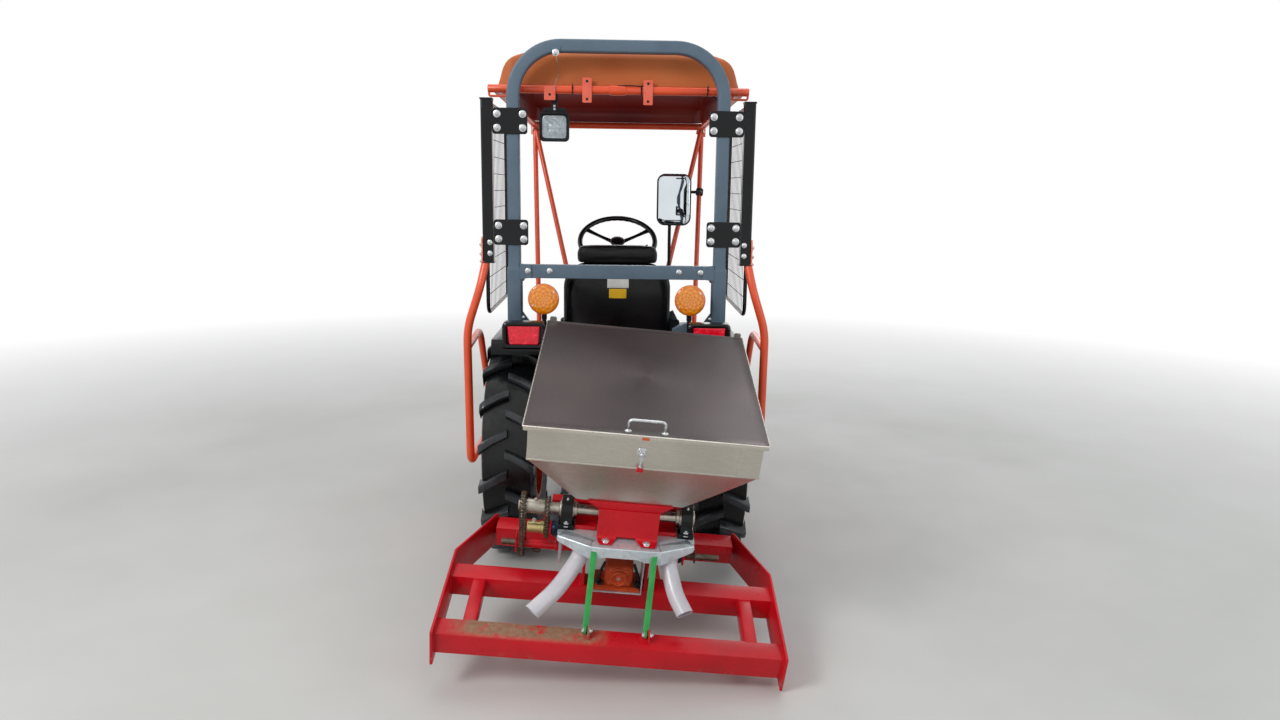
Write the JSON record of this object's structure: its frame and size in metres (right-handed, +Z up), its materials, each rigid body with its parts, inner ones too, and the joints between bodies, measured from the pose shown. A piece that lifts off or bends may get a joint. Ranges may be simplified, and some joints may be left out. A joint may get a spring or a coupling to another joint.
{
  "type": "compact tractor",
  "caption": "Narrow compact farm tractor with roll-over hoop, canopy and side guards, carrying a hopper spreader frame on its rear hitch.",
  "frame": {"origin": "on the floor under the middle of the whole outline's box", "axes": "+Z up, +Y the way the tractor drives, +X to its right"},
  "size_m": [1.2678, 3.295, 2.142],
  "materials": {
    "paint_red": "gloss",
    "paint_orange": "gloss",
    "paint_orange_dark": "satin",
    "paint_bluegrey": "satin",
    "paint_black": "gloss",
    "paint_green": "gloss",
    "paint_casegrey": "satin",
    "tyre": "satin",
    "stainless": "brushed",
    "steel": "machined",
    "galvanised": "satin",
    "cast_iron": "rough",
    "black_plastic": "satin",
    "red_lens": "gloss",
    "amber_lens": "gloss",
    "clear_lens": "gloss",
    "hose_plastic": "satin",
    "seat_vinyl": "satin"
  },
  "bodies": {
    "chassis": {"engine_block": "cast_iron", "transmission_case": "cast_iron", "front_frame": "paint_casegrey", "front_axle": "cast_iron", "dash": "black_plastic", "floor": "paint_black", "fender_left": "paint_black", "fender_right": "paint_black", "tail_lamps": "black_plastic", "tail_lenses": "red_lens", "seat": "seat_vinyl", "seat_pad": "seat_vinyl", "rops_hoop": "paint_bluegrey", "rops_crossbar": "paint_bluegrey", "clamp_plates": "paint_black", "side_guards": "paint_black", "canopy_frame": "paint_orange", "canopy_roof": "paint_orange_dark", "work_lamp": "black_plastic", "amber_lamps": "amber_lens", "grab_rails": "paint_orange", "mirror": "black_plastic", "control_levers": "paint_black", "drawbar": "cast_iron"},
    "hood": {"bonnet": "paint_orange", "grille": "black_plastic", "headlamps": "clear_lens"},
    "knuckle_left": {"knuckle_left": "cast_iron"},
    "knuckle_right": {"knuckle_right": "cast_iron"},
    "tie_rod": {"tie_rod": "steel"},
    "steering_wheel": {"steering_wheel": "black_plastic"},
    "lower_links": {"lower_links": "paint_casegrey"},
    "lift_arms": {"lift_arms": "paint_casegrey"},
    "lift_rods": {"lift_rods": "paint_casegrey"},
    "top_link": {"top_link": "steel"},
    "implement": {"tool_side_plates": "paint_red", "tool_rails": "paint_red", "tool_struts": "paint_red", "mast": "paint_red", "hopper": "stainless", "metering_housing": "paint_red", "metering_shaft": "steel", "pillow_blocks": "cast_iron", "spreader_plate": "galvanised", "drive_bracket": "paint_red", "gearbox": "paint_orange_dark", "drive_chains": "steel", "hose_left": "hose_plastic", "hose_right": "hose_plastic", "stay_bars": "paint_green"},
    "lid": {"lid": "stainless"},
    "rear_wheel_left": {"rear_tyre_left": "tyre", "rear_rim_left": "paint_orange"},
    "rear_wheel_right": {"rear_tyre_right": "tyre", "rear_rim_right": "paint_orange"},
    "front_wheel_left": {"front_tyre_left": "tyre", "front_rim_left": "paint_orange"},
    "front_wheel_right": {"front_tyre_right": "tyre", "front_rim_right": "paint_orange"}
  },
  "joints": [
    {"name": "rear_wheel_left_spin", "type": "hinge", "parent": "chassis", "child": "rear_wheel_left", "pos_m": [-0.43, -0.3625, 0.46], "axis": [1, 0, 0], "continuous": true},
    {"name": "rear_wheel_right_spin", "type": "hinge", "parent": "chassis", "child": "rear_wheel_right", "pos_m": [0.43, -0.3625, 0.46], "axis": [1, 0, 0], "continuous": true},
    {"name": "steer", "type": "hinge", "parent": "chassis", "child": "knuckle_left", "pos_m": [-0.3, 1.1975, 0.3], "axis": [0, 0, 1], "range_deg": [-38, 38]},
    {"name": "steer_right", "type": "hinge", "parent": "chassis", "child": "knuckle_right", "pos_m": [0.3, 1.1975, 0.3], "axis": [0, 0, 1], "range_deg": [-38, 38]},
    {"name": "tie_rod_swing", "type": "hinge", "parent": "knuckle_left", "child": "tie_rod", "pos_m": [-0.3, 1.0775, 0.25], "axis": [0, 0, 1], "range_deg": [-38, 38]},
    {"name": "steering_wheel_turn", "type": "hinge", "parent": "chassis", "child": "steering_wheel", "pos_m": [0, 0.3575, 1.303], "axis": [0, -0.5736, 0.8192], "range_deg": [-456, 456]},
    {"name": "front_wheel_left_spin", "type": "hinge", "parent": "knuckle_left", "child": "front_wheel_left", "pos_m": [-0.405, 1.1975, 0.28], "axis": [1, 0, 0], "continuous": true},
    {"name": "front_wheel_right_spin", "type": "hinge", "parent": "knuckle_right", "child": "front_wheel_right", "pos_m": [0.405, 1.1975, 0.28], "axis": [1, 0, 0], "continuous": true},
    {"name": "hood_open", "type": "hinge", "parent": "chassis", "child": "hood", "pos_m": [0, 0.5955, 1.085], "axis": [1, 0, 0], "range_deg": [0, 50]},
    {"name": "hitch_lift", "type": "hinge", "parent": "chassis", "child": "lower_links", "pos_m": [0, -0.4225, 0.33], "axis": [-1, 0, 0], "range_deg": [0, 25]},
    {"name": "implement_tilt", "type": "hinge", "parent": "lower_links", "child": "implement", "pos_m": [0.00024, -0.94265, 0.29814], "axis": [-0.9966, 0, 0.0819], "range_deg": [-18.7, 1]},
    {"name": "top_link_swing", "type": "hinge", "parent": "chassis", "child": "top_link", "pos_m": [0, -0.5625, 0.62], "axis": [-1, 0, 0], "range_deg": [-1, 30.9]},
    {"name": "lift_arm_swing", "type": "hinge", "parent": "chassis", "child": "lift_arms", "pos_m": [0, -0.4225, 0.7], "axis": [-1, 0, 0], "range_deg": [-1, 31.4]},
    {"name": "lift_rod_swing", "type": "hinge", "parent": "lift_arms", "child": "lift_rods", "pos_m": [0, -0.6325, 0.67], "axis": [-1, 0, 0], "range_deg": [-35, 1]},
    {"name": "lid_open", "type": "hinge", "parent": "implement", "child": "lid", "pos_m": [0.1092, -0.79787, 1.02548], "axis": [-0.9966, 0, 0.0819], "range_deg": [0, 90]}
  ],
  "couplings": [
    {"joint": "steer_right", "follows": "steer", "ratio": 1},
    {"joint": "tie_rod_swing", "follows": "steer", "ratio": -1},
    {"joint": "steering_wheel_turn", "follows": "steer", "ratio": 12},
    {"joint": "implement_tilt", "follows": "hitch_lift", "ratio": -0.7084},
    {"joint": "top_link_swing", "follows": "hitch_lift", "ratio": 1.1966},
    {"joint": "lift_arm_swing", "follows": "hitch_lift", "ratio": 1.2171},
    {"joint": "lift_rod_swing", "follows": "hitch_lift", "ratio": -1.3607}
  ]
}
